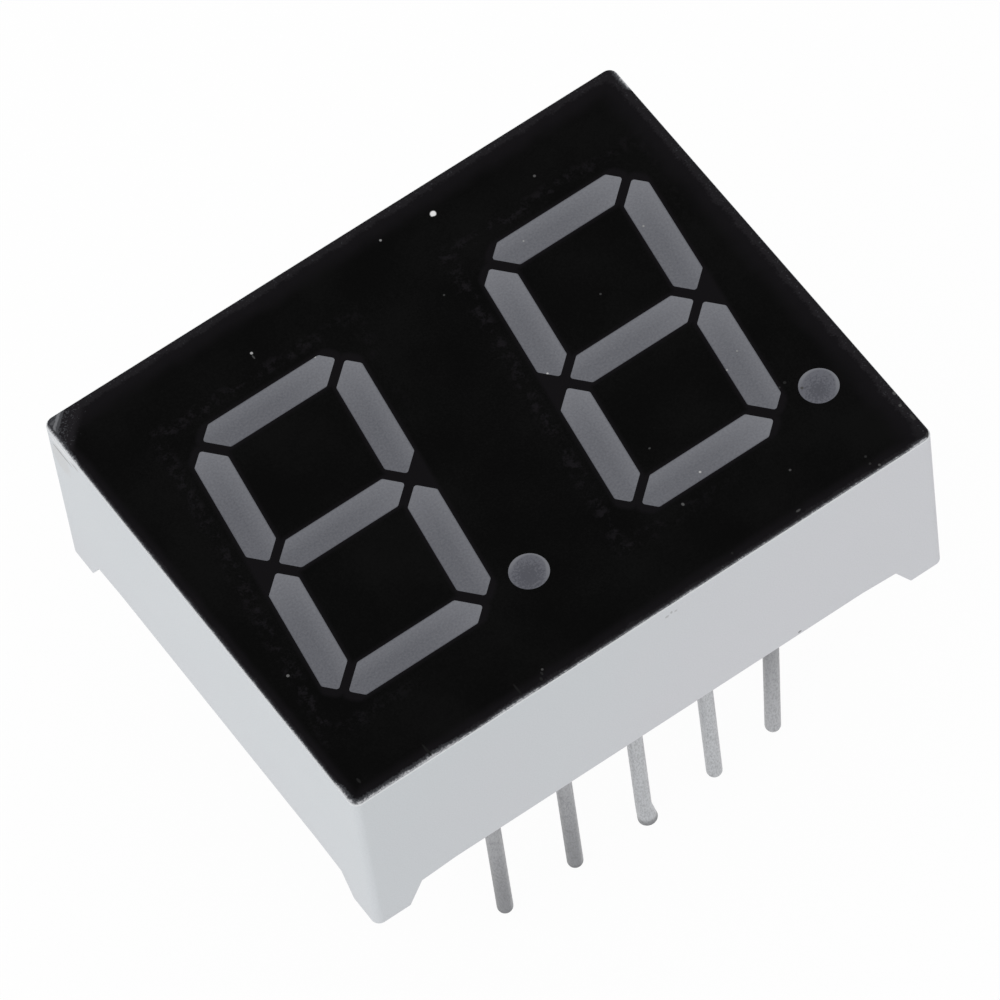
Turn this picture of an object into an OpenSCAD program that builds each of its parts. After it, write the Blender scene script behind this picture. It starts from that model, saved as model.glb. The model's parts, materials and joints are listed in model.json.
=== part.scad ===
// Two-digit seven segment display with ten pins, in millimetres.
// x runs along the two digits, y up the face and z out of the face.
// The origin is the middle of the pin pattern, on the plane that the four feet stand on.

/* [Housing] */
// From the feet to the face
body_t = 7.0; // [6:0.1:10]
// Thickness of the side walls
wall = 0.9; // [0.6:0.05:1.5]
// Between the right-hand decimal point and the inside of the wall
side_gap = 0.145; // [0.05:0.005:3]
// Thickness of the front plate
plate_t = 1.0; // [0.6:0.1:1.5]
// Radius of the four upright edges
edge_r = 0.27; // [0.1:0.01:0.5]
// Radius inside the four corners
inner_r = 0.4; // [0.2:0.05:1]
// How far the lower edge of the walls is above the feet
skirt_rise = 1.02; // [0.5:0.01:1.2]
// How much lower that edge is where it meets a foot
skirt_dip = 0.1; // [0:0.01:0.3]
// Length of the stretch of edge that runs down to a foot
dip_run = 1.2; // [0.5:0.1:3]
// Flat width of a foot
foot_w = 1.18; // [0.9:0.02:2]
// Sideways run of the slope beside a foot
foot_slope = 0.5; // [0.2:0.02:1]

/* [Face] */
// Thickness of the black coat on the front plate
ink_t = 0.07; // [0.03:0.01:0.15]
// Bare rim between the coat and the edge of the housing
ink_rim = 0.03; // [0:0.01:0.3]

/* [Digits] */
// From the middle of one digit to the middle of the next
digit_pitch = 10.2; // [9.9:0.05:11.5]
// How far the digits sit below the middle of the face
digit_drop = 0.09; // [0:0.01:0.5]
// Lean of the digits, in degrees
slant = 8; // [0:0.5:12]
// Width of a segment
bar_w = 1.04; // [0.8:0.02:1.3]
// Between the middle lines of a digit's two columns
column_gap = 4.83; // [4.2:0.01:5]
// Between the middle lines of neighbouring level segments
row_gap = 4.605; // [4:0.005:4.9]
// Black gap between two segments
mitre_gap = 0.31; // [0.2:0.01:0.5]
// How far the outer corners run past the crossing of the middle lines
corner_run = 0.025; // [0:0.005:0.1]
// Radius of a segment's corners
corner_r = 0.09; // [0.03:0.01:0.15]
// Diameter of the decimal point
dot_d = 1.2; // [0.9:0.05:1.4]
// From the middle of a digit to its decimal point
dot_run = 3.355; // [3.2:0.005:3.5]

/* [Reflector cups] */
// Wall round each cup
cup_wall = 0.5; // [0.3:0.05:0.8]
// Depth of the straight mouth, from the face
mouth_t = 0.6; // [0.3:0.1:1.5]
// Gap between the rims of the cups and the board, which the fill runs through
rim_gap = 0.1; // [0.06:0.01:0.2]
// Length of the window that a cup leaves at the board
window_l = 1.3; // [1.2:0.05:2]
// Width of that window
window_w = 0.8; // [0.7:0.02:1]

/* [Circuit board] */
// Thickness of the board
board_t = 1.0; // [0.6:0.1:1.6]
// Gap between the board and the walls
board_gap = 0.1; // [0.05:0.05:0.2]
// Bare board between the copper rings and its edge
board_rim = 0.1; // [0.1:0.05:2]
// Side of the corner posts that the board rests on
post_w = 1.2; // [0.8:0.1:1.6]
// Thickness of the copper
copper_t = 0.05; // [0.03:0.01:0.1]
// Width of the ring of copper round a hole
ring_w = 0.25; // [0.2:0.05:0.5]
// Side of the pad under a die
die_pad = 0.4; // [0.3:0.02:0.44]
// Side of the pad under the end of a wire
wire_pad = 0.22; // [0.16:0.02:0.26]

/* [Fill] */
// How far the fill stays inside the lower edge of the walls
fill_recess = 0.24; // [0.1:0.02:0.6]
// Thickness of the fill behind the board
fill_back = 0.5; // [0.45:0.05:0.6]
// How far the fill creeps up a pin
creep_h = 0.12; // [0.05:0.01:0.15]
// How far round a pin it starts to creep up
creep_w = 0.22; // [0.1:0.02:0.4]

/* [Dies and bond wires] */
// Side of a light-emitting die
die_w = 0.3; // [0.2:0.01:0.3]
// Height of a die
die_h = 0.25; // [0.15:0.01:0.3]
// Diameter of a bond wire
wire_d = 0.04; // [0.03:0.005:0.06]
// From the middle of a die to the middle of its wire pad
wire_run = 0.42; // [0.38:0.01:0.45]

/* [Pins] */
// Diameter of a pin
pin_d = 0.5; // [0.4:0.01:0.6]
// Between neighbouring pins of a row
pin_pitch = 2.54; // [2.54:0.01:2.6]
// Between the two rows
row_span = 12.7; // [12.6:0.01:12.8]
// From the feet down to the tips
pin_reach = 7.0; // [3:0.1:12]
// Across the corners of a pin's root, the eight-sided length that the board and the fill hold
root_d = 0.58; // [0.54:0.02:0.7]
// How far the root stands out of the fill
root_out = 0.2; // [0.18:0.01:0.3]
// Length over which the root narrows to the pin
root_taper = 0.05; // [0.02:0.01:0.1]
// How far a pin stands out of the front of the board
pin_stub = 0.05; // [0.02:0.01:0.05]
// Gap between a root and its hole, which solder fills
hole_gap = 0.06; // [0.03:0.01:0.1]
// Height of the solder behind the board
solder_h = 0.32; // [0.1:0.02:0.36]
// Bare edge of the copper ring round the solder
solder_rim = 0.06; // [0.02:0.01:0.2]
// Thickness of the solder at its thin end
solder_neck = 0.03; // [0.01:0.01:0.1]
// Sideways run of the bent pin's tip
bend_run = 0.32; // [0.1:0.01:0.5]
// Which way the bent pin leans, in degrees from the reading direction
bend_way = 141; // [0:1:359]
// Radius of its bend, at the middle of the pin
bend_r = 2; // [1:0.1:4]
// Extra radius of the burred tip
burr = 0.06; // [0:0.01:0.15]
// Length of the burred tip
burr_l = 0.8; // [0.4:0.05:1.5]
// Lean of the burred tip, in degrees
burr_lean = 6; // [0:1:12]

/* [Hidden] */
$fn = 48;
ARC_STEPS = 4; // straight steps that a segment's rounded corner is drawn with
EDGE_STEPS = 3; // the same on its blunt corners
SIDES = ["left", "right"];
SEGMENTS = ["a", "b", "c", "d", "e", "f", "g", "dp"];
DOT = 7; // place of the decimal point in SEGMENTS
PIN_COUNT = 10;
ROW_PINS = 5;
BENT_PIN = 5;
BURRED_PIN = 3;
SPREAD = 1.5; // how many segment widths a cup's slopes are apart at its mouth
FLATS = 8; // flats round the root of a pin
MEETING = 0.3; // overlap of two lengths that are joined into one solid
post_sink = 0.1; // how far a corner post runs into the walls
CUT = 1; // how far a cutting shape runs past what it cuts

column_x = column_gap / 2;
coat_z = body_t - ink_t; // top of the housing, below the black coat
plate_z = body_t - plate_t; // underside of the front plate
mouth_z = body_t - mouth_t;
fill_z = skirt_rise + fill_recess; // back of the fill
board_z = fill_z + fill_back; // back of the board
front_z = board_z + board_t; // front of the board
pad_z = front_z + copper_t;
die_z = pad_z + die_h; // top of a die
root_z = fill_z - root_out; // where the root starts to narrow
neck_z = root_z - root_taper; // where a pin has its own diameter
pin_r = pin_d / 2;
root_r = root_d / 2;
neck_r = (pin_r + root_r * cos(180 / FLATS)) / 2; // where the neck meets the flats of the root
bend_z = neck_z - pin_r; // where the bent pin starts to bend
wire_r = wire_d / 2;
hole_r = root_r + hole_gap;
ring_r = hole_r + ring_w;
solder_r = ring_r - solder_rim;

// The pocket goes round the digits and the board, and the walls go round the pocket
board_h = row_span + 2 * (ring_r + board_rim);
pocket_w = digit_pitch + 2 * (dot_run + dot_d / 2 + side_gap);
pocket_h = board_h + 2 * board_gap;
body_w = pocket_w + 2 * wall;
body_h = pocket_h + 2 * wall;

// One corner of an outline, drawn as an arc from the edge that arrives to the edge that leaves
function unit(v) = v / norm(v);
function corner_arc(a, b, c, r) =
    let (p = unit(a - b), q = unit(c - b), half = acos(p * q) / 2,
         middle = b + unit(p + q) * r / sin(half),
         from = b + p * r / tan(half) - middle,
         to = b + q * r / tan(half) - middle,
         start = atan2(from.y, from.x),
         sweep = atan2(to.y, to.x) - start,
         turn = sweep > 180 ? sweep - 360 : sweep < -180 ? sweep + 360 : sweep,
         steps = half > 50 ? EDGE_STEPS : ARC_STEPS)
    [for (i = [0 : steps]) middle + r * [cos(start + turn * i / steps), sin(start + turn * i / steps)]];
function rounded(points, r) =
    let (n = len(points))
    [for (i = [0 : n - 1]) each corner_arc(points[(i + n - 1) % n], points[i], points[(i + 1) % n], r)];

// An upright digit is drawn round its own middle, and then leans
function lean(p) = [p.x + p.y * tan(slant), p.y];
function flip(points, x, y) = [for (p = points) [p.x * x, p.y * y]];

// Outlines of the top, upper right and middle segments, grown by g on every side
function bar_half(g) = bar_w / 2 + g;
function mitre(g) = mitre_gap / sqrt(2) - g * sqrt(2);
function reach(g) = (corner_run + g) * sqrt(2);
function top_bar(g) =
    let (h = bar_half(g), m = mitre(g), k = reach(g),
         outer = column_x + k - h, inner = column_x - h - m,
         tip = [column_x + (k - m) / 2, row_gap + (k + m) / 2])
    [[outer, row_gap + h], [-outer, row_gap + h], [-tip.x, tip.y],
     [-inner, row_gap - h], [inner, row_gap - h], tip];
function upper_bar(g) =
    let (h = bar_half(g), m = mitre(g), k = reach(g))
    [[column_x + h, row_gap + k - h], [column_x + (k + m) / 2, row_gap + (k - m) / 2],
     [column_x - h, row_gap - h - m], [column_x - h, m + h], [column_x, m], [column_x + h, m + h]];
function middle_bar(g) =
    let (h = bar_half(g), end = column_x - mitre(g))
    [[end - h, h], [h - end, h], [-end, 0], [h - end, -h], [end - h, -h], [end, 0]];
function bar(s, g = 0) =
    s == 0 ? top_bar(g)
    : s == 1 ? upper_bar(g)
    : s == 2 ? flip(upper_bar(g), 1, -1)
    : s == 3 ? flip(top_bar(g), 1, -1)
    : s == 4 ? flip(upper_bar(g), -1, -1)
    : s == 5 ? flip(upper_bar(g), -1, 1)
    : middle_bar(g);

// Where a segment's die sits, and which way its segment runs
is_column = [false, true, true, false, true, true, false, false];
seats = [[0, row_gap], [column_x, row_gap / 2], [column_x, -row_gap / 2], [0, -row_gap],
         [-column_x, -row_gap / 2], [-column_x, row_gap / 2], [0, 0]];
function digit_at(side) = [(side - 0.5) * digit_pitch, -digit_drop];
function seat(side, s) = digit_at(side) + (s == DOT ? [dot_run, -row_gap] : lean(seats[s]));
function run_angle(s) = is_column[s] ? 90 - slant : 0;
function run_length(s) = is_column[s] ? (row_gap + bar_w / 2) / cos(slant) : column_gap;

// Pins count along the front row from the left, and then back along the rear row
function pin_at(i) =
    let (front = i <= ROW_PINS, k = front ? i - 1 : PIN_COUNT - i)
    [(k - (ROW_PINS - 1) / 2) * pin_pitch, front ? -row_span / 2 : row_span / 2];

module slab(z0, z1) translate([0, 0, z0]) linear_extrude(z1 - z0) children();

module round_rectangle(w, h, r) {
    square([w - 2 * r, h], center = true);
    square([w, h - 2 * r], center = true);
    for (x = [-1, 1], y = [-1, 1])
        translate([x * (w / 2 - r), y * (h / 2 - r)]) circle(r);
}

// Four posts in the corners of the pocket, down to the board
module corner_posts() slab(front_z, plate_z + MEETING)
    for (x = [-1, 1], y = [-1, 1])
        translate([x * (pocket_w - post_w) / 2, y * (pocket_h - post_w) / 2])
            square(post_w + 2 * post_sink, center = true);

module segment_outline(side, s, g = 0)
    if (s == DOT) translate(seat(side, s)) circle(dot_d / 2 + g);
    else translate(digit_at(side))
        polygon(rounded([for (p = bar(s, g)) lean(p)], corner_r + g));

module all_segments(z0, z1, g = 0)
    slab(z0, z1) for (side = [0, 1], s = [0 : DOT]) segment_outline(side, s, g);

// A block that narrows from the mouth of a cup to its window, along one direction
module narrowing(mouth, window, across, top)
    rotate([90, 0, 0]) linear_extrude(across, center = true)
        polygon([[-window / 2, front_z], [window / 2, front_z], [mouth / 2, mouth_z],
                 [mouth / 2, top], [-mouth / 2, top], [-mouth / 2, mouth_z]]);

// The space inside one reflector cup, from the board up to the given height
module cup(side, s, top)
    if (s == DOT) slab(front_z, top) segment_outline(side, s);
    else intersection() {
        length = run_length(s) + bar_w;
        width = bar_w * SPREAD;
        slab(front_z, top) segment_outline(side, s);
        translate(seat(side, s)) rotate(run_angle(s)) intersection() {
            narrowing(length, window_l, width + CUT, top + CUT);
            rotate(90) narrowing(width, window_w, length + CUT, top + CUT);
        }
    }

module cups(top) for (side = [0, 1], s = [0 : DOT]) cup(side, s, top);

// What is cut away below the walls on one side, so that a foot is left at each end
module arch(span, depth) {
    foot_edge = span / 2 - foot_w;
    dip_edge = foot_edge - foot_slope;
    level_edge = dip_edge - dip_run;
    rotate([90, 0, 0]) linear_extrude(depth + 2 * CUT, center = true)
        polygon([[-foot_edge, -CUT], [-foot_edge, 0], [-dip_edge, skirt_rise - skirt_dip],
                 [-level_edge, skirt_rise], [level_edge, skirt_rise],
                 [dip_edge, skirt_rise - skirt_dip], [foot_edge, 0], [foot_edge, -CUT]]);
}

// Moulded in one piece: walls, feet, front plate and the walls of the sixteen cups
module housing() color([0.8, 0.82, 0.835]) difference() {
    union() {
        difference() {
            slab(0, coat_z) round_rectangle(body_w, body_h, edge_r);
            slab(-CUT, plate_z) round_rectangle(pocket_w, pocket_h, inner_r);
            arch(body_w, body_h);
            rotate(90) arch(body_h, body_w);
        }
        all_segments(front_z + rim_gap, plate_z + MEETING, cup_wall);
        corner_posts();
    }
    cups(coat_z + CUT);
}

module face_ink() color([0.06, 0.06, 0.065]) difference() {
    slab(coat_z, body_t) round_rectangle(body_w - 2 * ink_rim, body_h - 2 * ink_rim, edge_r);
    all_segments(coat_z - CUT, body_t + CUT);
}

// Cast in one piece: it fills the cups up to the face and closes the back behind the board
module potting() color([0.42, 0.425, 0.45]) difference() {
    union() {
        difference() {
            slab(fill_z, plate_z) round_rectangle(pocket_w, pocket_h, inner_r);
            all_segments(front_z + rim_gap, plate_z + CUT, cup_wall);
            corner_posts();
        }
        cups(body_t);
        for (i = [1 : PIN_COUNT]) translate(concat(pin_at(i), 0)) rotate_extrude()
            polygon([[0, fill_z - creep_h], [root_r, fill_z - creep_h], [root_r + creep_w, fill_z],
                     [root_r + creep_w, fill_z + MEETING], [0, fill_z + MEETING]]);
    }
    board_block();
    front_copper();
    back_copper();
    solder_joints();
    for (i = [1 : PIN_COUNT]) pin_root(i);
    for (side = [0, 1], s = [0 : DOT]) {
        die(side, s);
        bond_wire(side, s);
    }
}

module board_block() slab(board_z, front_z)
    round_rectangle(pocket_w - 2 * board_gap, board_h, inner_r);

module circuit_board() color([0.2, 0.42, 0.28]) difference() {
    board_block();
    for (i = [1 : PIN_COUNT])
        translate(concat(pin_at(i), board_z - CUT)) cylinder(r = hole_r, h = board_t + 2 * CUT);
}

// The pads that carry the dies and the far ends of their wires
module front_copper() color([0.8, 0.66, 0.3]) slab(front_z, pad_z)
    for (side = [0, 1], s = [0 : DOT]) translate(seat(side, s)) rotate(run_angle(s)) {
        square(die_pad, center = true);
        translate([wire_run, 0]) square(wire_pad, center = true);
    }

// One ring round each pin
module back_copper() color([0.8, 0.66, 0.3]) slab(board_z - copper_t, board_z)
    for (i = [1 : PIN_COUNT]) translate(pin_at(i)) difference() {
        circle(ring_r);
        circle(hole_r);
    }

// Solder fills each hole and runs out over its ring
module solder_joints() color([0.72, 0.73, 0.75])
    for (i = [1 : PIN_COUNT]) difference() {
        translate(concat(pin_at(i), 0)) rotate_extrude()
            polygon([[0, front_z], [hole_r, front_z], [hole_r, board_z - copper_t],
                     [solder_r, board_z - copper_t],
                     [root_r + solder_neck, board_z - copper_t - solder_h],
                     [0, board_z - copper_t - solder_h]]);
        pin_root(i);
    }

// Pressed to flats that grip the board, from the pin's stub in front of it to just outside the fill
module pin_root(i) translate(concat(pin_at(i), root_z))
    cylinder(r = root_r, h = front_z + pin_stub - root_z, $fn = FLATS);

// The free length of a pin, from the given height up to its neck and into its root
module pin_shank(i, bottom) translate(concat(pin_at(i), 0)) rotate_extrude()
    polygon([[0, bottom], [pin_r, bottom], [pin_r, neck_z], [neck_r, root_z], [pin_r, root_z],
             [pin_r, root_z + MEETING], [0, root_z + MEETING]]);

module round_tip() sphere(pin_r);

module straight_pin(i) {
    pin_root(i);
    pin_shank(i, pin_r - pin_reach);
    translate(concat(pin_at(i), pin_r - pin_reach)) round_tip();
}

// Bent just below its neck in two small turns, with its tip level with the others
module bent_pin(i) {
    drop = bend_z + pin_reach - pin_r;
    angle = atan2(bend_run, drop);
    chord = 2 * bend_r * sin(angle / 2);
    second = chord * [sin(angle / 2), 0, -cos(angle / 2)];
    length = (drop + second.z) / cos(angle);
    pin_root(i);
    pin_shank(i, bend_z);
    translate(concat(pin_at(i), bend_z)) rotate(bend_way) {
        sphere(pin_r);
        rotate([0, -angle / 2, 0]) translate([0, 0, -chord]) cylinder(r = pin_r, h = chord);
        translate(second) {
            sphere(pin_r);
            rotate([0, -angle, 0]) translate([0, 0, -length]) {
                cylinder(r = pin_r, h = length);
                round_tip();
            }
        }
    }
}

// Snipped with a blunt tool, which spread its end and pushed it to the right
module burred_pin(i) {
    end_r = pin_r + burr;
    end_z = end_r * sin(burr_lean) - pin_reach;
    pin_root(i);
    pin_shank(i, end_z + burr_l);
    translate(concat(pin_at(i), end_z + burr_l)) {
        sphere(pin_r);
        rotate([0, -burr_lean, 0])
            translate([0, 0, -burr_l / cos(burr_lean)])
                cylinder(r1 = end_r, r2 = pin_r, h = burr_l / cos(burr_lean));
    }
}

module pin(i) color([0.7, 0.71, 0.73])
    if (i == BENT_PIN) bent_pin(i);
    else if (i == BURRED_PIN) burred_pin(i);
    else straight_pin(i);

module die(side, s) color([0.35, 0.33, 0.36])
    translate(concat(seat(side, s), pad_z)) rotate(run_angle(s))
        translate([-die_w / 2, -die_w / 2, 0]) cube([die_w, die_w, die_h]);

// An arch of fine wire from the top of the die down to its pad
module bond_wire(side, s) color([0.85, 0.7, 0.3])
    translate(concat(seat(side, s), 0)) rotate(run_angle(s)) {
        translate([wire_run / 2, 0, die_z]) rotate([90, 0, 0])
            rotate_extrude(angle = 180) translate([wire_run / 2, 0]) circle(wire_r);
        translate([wire_run, 0, pad_z]) cylinder(r = wire_r, h = die_h);
    }

housing();
face_ink();
potting();
circuit_board();
front_copper();
back_copper();
solder_joints();
for (i = [1 : PIN_COUNT])
    pin(i);
for (side = [0, 1], s = [0 : DOT])
    die(side, s);
for (side = [0, 1], s = [0 : DOT])
    bond_wire(side, s);
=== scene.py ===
# %% [markdown]
# # A two-digit seven segment display
#
# This notebook dresses a small electronic display that stands on its ten pins. The solids come ready
# made, so most of the lesson is about finishes: moulded plastic, a printed black coat, tinted epoxy and
# tinned wire. All lengths are in metres, in the part's own frame: x runs along the digits, y up the
# digits and z out of the face.

# %% Load the frame
import json
import math

import bmesh
import bpy
from mathutils import Matrix, Vector


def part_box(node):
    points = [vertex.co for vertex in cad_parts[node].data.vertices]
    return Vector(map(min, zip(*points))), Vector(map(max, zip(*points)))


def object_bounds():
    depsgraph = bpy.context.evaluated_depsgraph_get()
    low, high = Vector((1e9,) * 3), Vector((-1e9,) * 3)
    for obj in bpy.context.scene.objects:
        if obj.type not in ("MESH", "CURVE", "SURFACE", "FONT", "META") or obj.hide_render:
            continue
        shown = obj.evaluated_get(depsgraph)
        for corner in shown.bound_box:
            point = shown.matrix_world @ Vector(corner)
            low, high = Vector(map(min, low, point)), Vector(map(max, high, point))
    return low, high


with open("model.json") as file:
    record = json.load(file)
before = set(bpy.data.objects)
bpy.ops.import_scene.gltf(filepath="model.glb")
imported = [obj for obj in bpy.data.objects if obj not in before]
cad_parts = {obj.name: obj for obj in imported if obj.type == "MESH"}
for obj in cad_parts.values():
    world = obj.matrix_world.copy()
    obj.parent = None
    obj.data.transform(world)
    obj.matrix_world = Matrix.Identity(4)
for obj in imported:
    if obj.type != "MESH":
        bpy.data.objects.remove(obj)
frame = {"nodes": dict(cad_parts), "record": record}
cad_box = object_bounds()
nodes = frame["nodes"]
MM = 0.001
print("nodes:", len(nodes), "box:", [round(v / MM, 2) for corner in cad_box for v in corner])

# %% [markdown]
# ## The places that the finishes need
#
# A pattern that follows the object has to know where its edges are. The edges could be typed in as
# numbers, but a change of the solids would then leave the finishes behind. So these places are read from
# the boxes of the solids: the sides of the housing, the face, the underside of the black coat on it, and
# the tips of the pins.

# %% Places and sizes
housing_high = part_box("housing")[1]
ink_low, ink_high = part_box("face_ink")
HALF_W = housing_high.x
HALF_H = housing_high.y
FACE_Z = ink_high.z
COAT_Z = ink_low.z
TIP_Z = cad_box[0].z
print("half sizes:", round(HALF_W / MM, 2), round(HALF_H / MM, 2), "face at", round(FACE_Z / MM, 2))

# %% [markdown]
# ## The camera
#
# A long lens from far away keeps the sides of a small object nearly parallel, as a product photographer
# would have it. The view could be set by a constraint that looks at a target, but plain numbers are
# easier to read and to fit. There are four of them round a point on the seating plane: azimuth,
# elevation, roll and distance. Azimuth 0 looks along +y.

# %% Camera
LENS = 334.26
VIEW_AZIMUTH = math.radians(27.16)
VIEW_ELEVATION = math.radians(58.47)
VIEW_ROLL = math.radians(-8.89)
VIEW_DISTANCE = 274.45 * MM
AIM = Vector((0.911, 1.588, 0)) * MM


def look_from(azimuth, elevation, roll):
    """Turns a camera that looks down -z to the given view."""
    turn = Matrix.Rotation(-azimuth, 4, "Z") @ Matrix.Rotation(math.pi / 2 - elevation, 4, "X")
    return turn @ Matrix.Rotation(roll, 4, "Z")


camera = bpy.data.objects.new("camera", bpy.data.cameras.new("camera"))
camera.data.lens = LENS
camera.data.clip_start = 0.01
camera.data.clip_end = 10
turned = look_from(VIEW_AZIMUTH, VIEW_ELEVATION, VIEW_ROLL)
camera.matrix_world = Matrix.Translation(AIM + turned @ Vector((0, 0, VIEW_DISTANCE))) @ turned
bpy.context.scene.collection.objects.link(camera)
bpy.context.scene.camera = camera
print("camera at", [round(v / MM, 1) for v in camera.matrix_world.translation])

# %% [markdown]
# ## Helpers for shader trees
#
# A shader tree is a list of nodes and the links between them. Written out one by one they hide what the
# tree does, so a few small helpers do the wiring: one adds any node, one adds a sum, one makes a smooth
# step and one blends two colours. A value that is a socket is linked, and any other is set on the socket.

# %% Nodes and sums
def feed(tree, socket, value):
    if isinstance(value, bpy.types.NodeSocket):
        tree.links.new(value, socket)
    else:
        socket.default_value = value


def add(tree, kind, settings=None, **sockets):
    made = tree.nodes.new(kind)
    for name, value in (settings or {}).items():
        setattr(made, name, value)
    for name, value in sockets.items():
        feed(tree, made.inputs[name.replace("_", " ")], value)
    return made


def calc(tree, operation, *values, clamp=False):
    made = add(tree, "ShaderNodeMath", {"operation": operation, "use_clamp": clamp})
    for socket, value in zip(made.inputs, values):
        feed(tree, socket, value)
    return made.outputs[0]


# %% Steps and blends
MIX_FIRST, MIX_SECOND, MIX_RESULT = 6, 7, 2


def ramp(tree, value, start, end, low=0.0, high=1.0):
    """A smooth step of the value from low at start to high at end."""
    made = add(tree, "ShaderNodeMapRange", {"interpolation_type": "SMOOTHSTEP"}, Value=value,
               From_Min=start, From_Max=end, To_Min=low, To_Max=high)
    return made.outputs["Result"]


def ramp_line(tree, value, start, end):
    """The value's share of the way from start to end, held between 0 and 1."""
    share = calc(tree, "SUBTRACT", value, start)
    return calc(tree, "DIVIDE", share, end - start, clamp=True)


def blend(tree, mask, first, second):
    """Mixes two colours. The node has sockets for numbers too, so its colour sockets go by their places."""
    made = add(tree, "ShaderNodeMix", {"data_type": "RGBA"}, Factor=mask)
    feed(tree, made.inputs[MIX_FIRST], first)
    feed(tree, made.inputs[MIX_SECOND], second)
    return made.outputs[MIX_RESULT]


# %% Noise, places and greys
def noise(tree, place, size, detail=2.0, roughness=0.5):
    """Noise whose largest blots are about the given size, in metres."""
    made = add(tree, "ShaderNodeTexNoise", Vector=place, Scale=1 / size, Detail=detail, Roughness=roughness)
    return made.outputs["Fac"]


def split(tree, place):
    return add(tree, "ShaderNodeSeparateXYZ", Vector=place).outputs


def grey(level, tint=(0, 0, 0)):
    """A colour written as an sRGB level from 0 to 255, with a small tint in the same steps."""
    steps = [(level + t) / 255 for t in tint]
    return [s / 12.92 if s <= 0.04045 else ((s + 0.055) / 1.055) ** 2.4 for s in steps] + [1]


print("level 128 as Blender keeps it:", [round(c, 3) for c in grey(128)])

# %% [markdown]
# ## Shared effects as node groups
#
# Three effects are used again and again. Grain is the fine tooth of a moulded or printed surface. Edge
# share tells how near a point is to the sides of the housing, which is where coats wear, and each side
# has a width of its own. Fleck is a small ragged spot at a given place, such as a speck of dust or a chip.
# Their nodes could be copied into every finish. Each is built once as a group with named inputs instead,
# so that a finish reads as a list of effects with its own values.

# %% Group builder
VECTOR = "NodeSocketVector"
FLOAT = "NodeSocketFloat"


def new_group(name, inputs, outputs):
    tree = bpy.data.node_groups.new(name, "ShaderNodeTree")
    for label, kind, value in inputs:
        socket = tree.interface.new_socket(label, in_out="INPUT", socket_type=kind)
        if value is not None:
            socket.default_value = value
    for label, kind in outputs:
        tree.interface.new_socket(label, in_out="OUTPUT", socket_type=kind)
    return tree, tree.nodes.new("NodeGroupInput").outputs, tree.nodes.new("NodeGroupOutput").inputs


def place_group(tree, group, **sockets):
    return add(tree, "ShaderNodeGroup", {"node_tree": group}, **sockets).outputs


# %% Grain
COARSE_SCALE = 0.15
COARSE_SHARE = 0.6


def build_grain():
    """Fine noise of the given size on top of a coarser one."""
    tree, given, out = new_group(
        "grain",
        [("Place", VECTOR, None), ("Size", FLOAT, 0.1 * MM)],
        [("Height", FLOAT)])
    fine = add(tree, "ShaderNodeTexNoise", Vector=given["Place"], Detail=3,
               Scale=calc(tree, "DIVIDE", 1.0, given["Size"])).outputs["Fac"]
    coarse = add(tree, "ShaderNodeTexNoise", Vector=given["Place"], Detail=1,
                 Scale=calc(tree, "DIVIDE", COARSE_SCALE, given["Size"])).outputs["Fac"]
    tree.links.new(calc(tree, "MULTIPLY_ADD", coarse, COARSE_SHARE, fine), out["Height"])
    return tree


grain = build_grain()
print("grain:", len(grain.nodes), "nodes")

# %% Edge share
SIDES = ("Left", "Right", "Front", "Rear")


def build_edge_share():
    """Puts out the least of the gaps to the four sides, each in units of its own width."""
    tree, given, out = new_group(
        "edge_share",
        [("Place", VECTOR, None)] + [(side, FLOAT, 0.1 * MM) for side in SIDES],
        [("Share", FLOAT)])
    place = split(tree, given["Place"])
    gaps = [calc(tree, "ADD", place["X"], HALF_W), calc(tree, "SUBTRACT", HALF_W, place["X"]),
            calc(tree, "ADD", place["Y"], HALF_H), calc(tree, "SUBTRACT", HALF_H, place["Y"])]
    least, *others = [calc(tree, "DIVIDE", gap, given[side]) for gap, side in zip(gaps, SIDES)]
    for share in others:
        least = calc(tree, "MINIMUM", least, share)
    tree.links.new(least, out["Share"])
    return tree


edge_share = build_edge_share()
print("edge share:", len(edge_share.nodes), "nodes")


def edge_of(tree, place, widths):
    """The edge share for widths in millimetres at the left, right, front and rear sides."""
    return place_group(tree, edge_share, Place=place, **{s: w * MM for s, w in zip(SIDES, widths)})[0]


# %% Fleck
FLECK_STARTS, FLECK_FULL = 1.15, 0.75


def build_fleck():
    """The distance from the middle in units of the radius, made ragged by noise and cut by a soft step."""
    tree, given, out = new_group(
        "fleck",
        [("Place", VECTOR, None), ("Middle", VECTOR, (0, 0, 0)), ("Stretch", VECTOR, (1, 1, 1)),
         ("Radius", FLOAT, 0.1 * MM), ("Ragged", FLOAT, 0.3), ("Blot", FLOAT, 0.12 * MM)],
        [("Mask", FLOAT)])
    away = add(tree, "ShaderNodeVectorMath", {"operation": "SUBTRACT"})
    tree.links.new(given["Place"], away.inputs[0])
    tree.links.new(given["Middle"], away.inputs[1])
    squeezed = add(tree, "ShaderNodeVectorMath", {"operation": "DIVIDE"})
    tree.links.new(away.outputs[0], squeezed.inputs[0])
    tree.links.new(given["Stretch"], squeezed.inputs[1])
    length = add(tree, "ShaderNodeVectorMath", {"operation": "LENGTH"}, Vector=squeezed.outputs[0])
    share = calc(tree, "DIVIDE", length.outputs["Value"], given["Radius"])
    blots = add(tree, "ShaderNodeTexNoise", Vector=given["Place"], Detail=3,
                Scale=calc(tree, "DIVIDE", 1.0, given["Blot"])).outputs["Fac"]
    blot = calc(tree, "SUBTRACT", blots, 0.5)
    worn = calc(tree, "MULTIPLY_ADD", calc(tree, "MULTIPLY", blot, given["Ragged"]), 4.0, share)
    tree.links.new(ramp(tree, worn, FLECK_STARTS, FLECK_FULL), out["Mask"])
    return tree


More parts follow.
